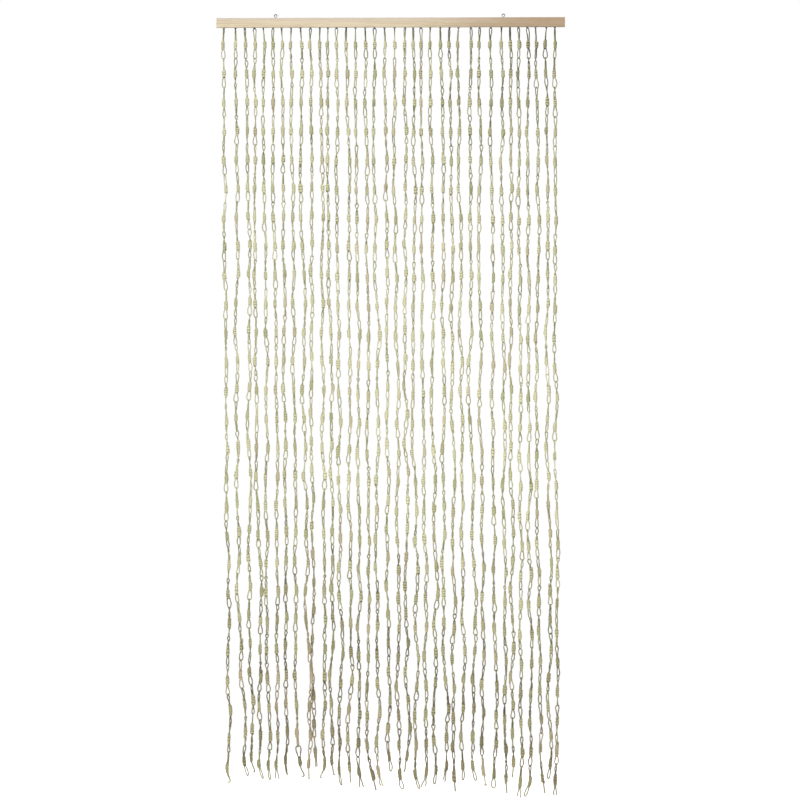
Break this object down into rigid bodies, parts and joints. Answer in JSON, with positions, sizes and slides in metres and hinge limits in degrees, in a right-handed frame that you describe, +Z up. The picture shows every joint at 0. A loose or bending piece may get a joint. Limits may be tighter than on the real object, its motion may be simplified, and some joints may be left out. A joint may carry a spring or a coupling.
{
  "type": "fly curtain and batten",
  "caption": "Doorway fly curtain of knotted straw-cord chains stapled under a plain pine batten, which hangs from wire screw eyes in its top edge.",
  "frame": {"origin": "midway between the centres of the two eyes' holes", "axes": "+X to the curtain's right seen from the front, the front faces -Y, +Z up"},
  "size_m": [0.9, 0.0261, 2.0251],
  "materials": {
    "batten_wood": "planed bare pine, satin",
    "eye_steel": "dark drawn steel wire",
    "straw_cord": "dry twisted straw cord, matt, pale sage to olive"
  },
  "bodies": {
    "root": {"batten": "batten_wood", "eye_left": "eye_steel", "eye_right": "eye_steel", "strand_01": "straw_cord", "strand_02": "straw_cord", "strand_03": "straw_cord", "strand_04": "straw_cord", "strand_05": "straw_cord", "strand_06": "straw_cord", "strand_07": "straw_cord", "strand_08": "straw_cord", "strand_09": "straw_cord", "strand_10": "straw_cord", "strand_11": "straw_cord", "strand_12": "straw_cord", "strand_13": "straw_cord", "strand_14": "straw_cord", "strand_15": "straw_cord", "strand_16": "straw_cord", "strand_17": "straw_cord", "strand_18": "straw_cord", "strand_19": "straw_cord", "strand_20": "straw_cord", "strand_21": "straw_cord", "strand_22": "straw_cord", "strand_23": "straw_cord", "strand_24": "straw_cord", "strand_25": "straw_cord", "strand_26": "straw_cord", "strand_27": "straw_cord", "strand_28": "straw_cord", "strand_29": "straw_cord", "strand_30": "straw_cord", "strand_31": "straw_cord", "strand_32": "straw_cord", "strand_33": "straw_cord", "strand_34": "straw_cord", "strand_35": "straw_cord", "strand_36": "straw_cord"}
  },
  "joints": []
}
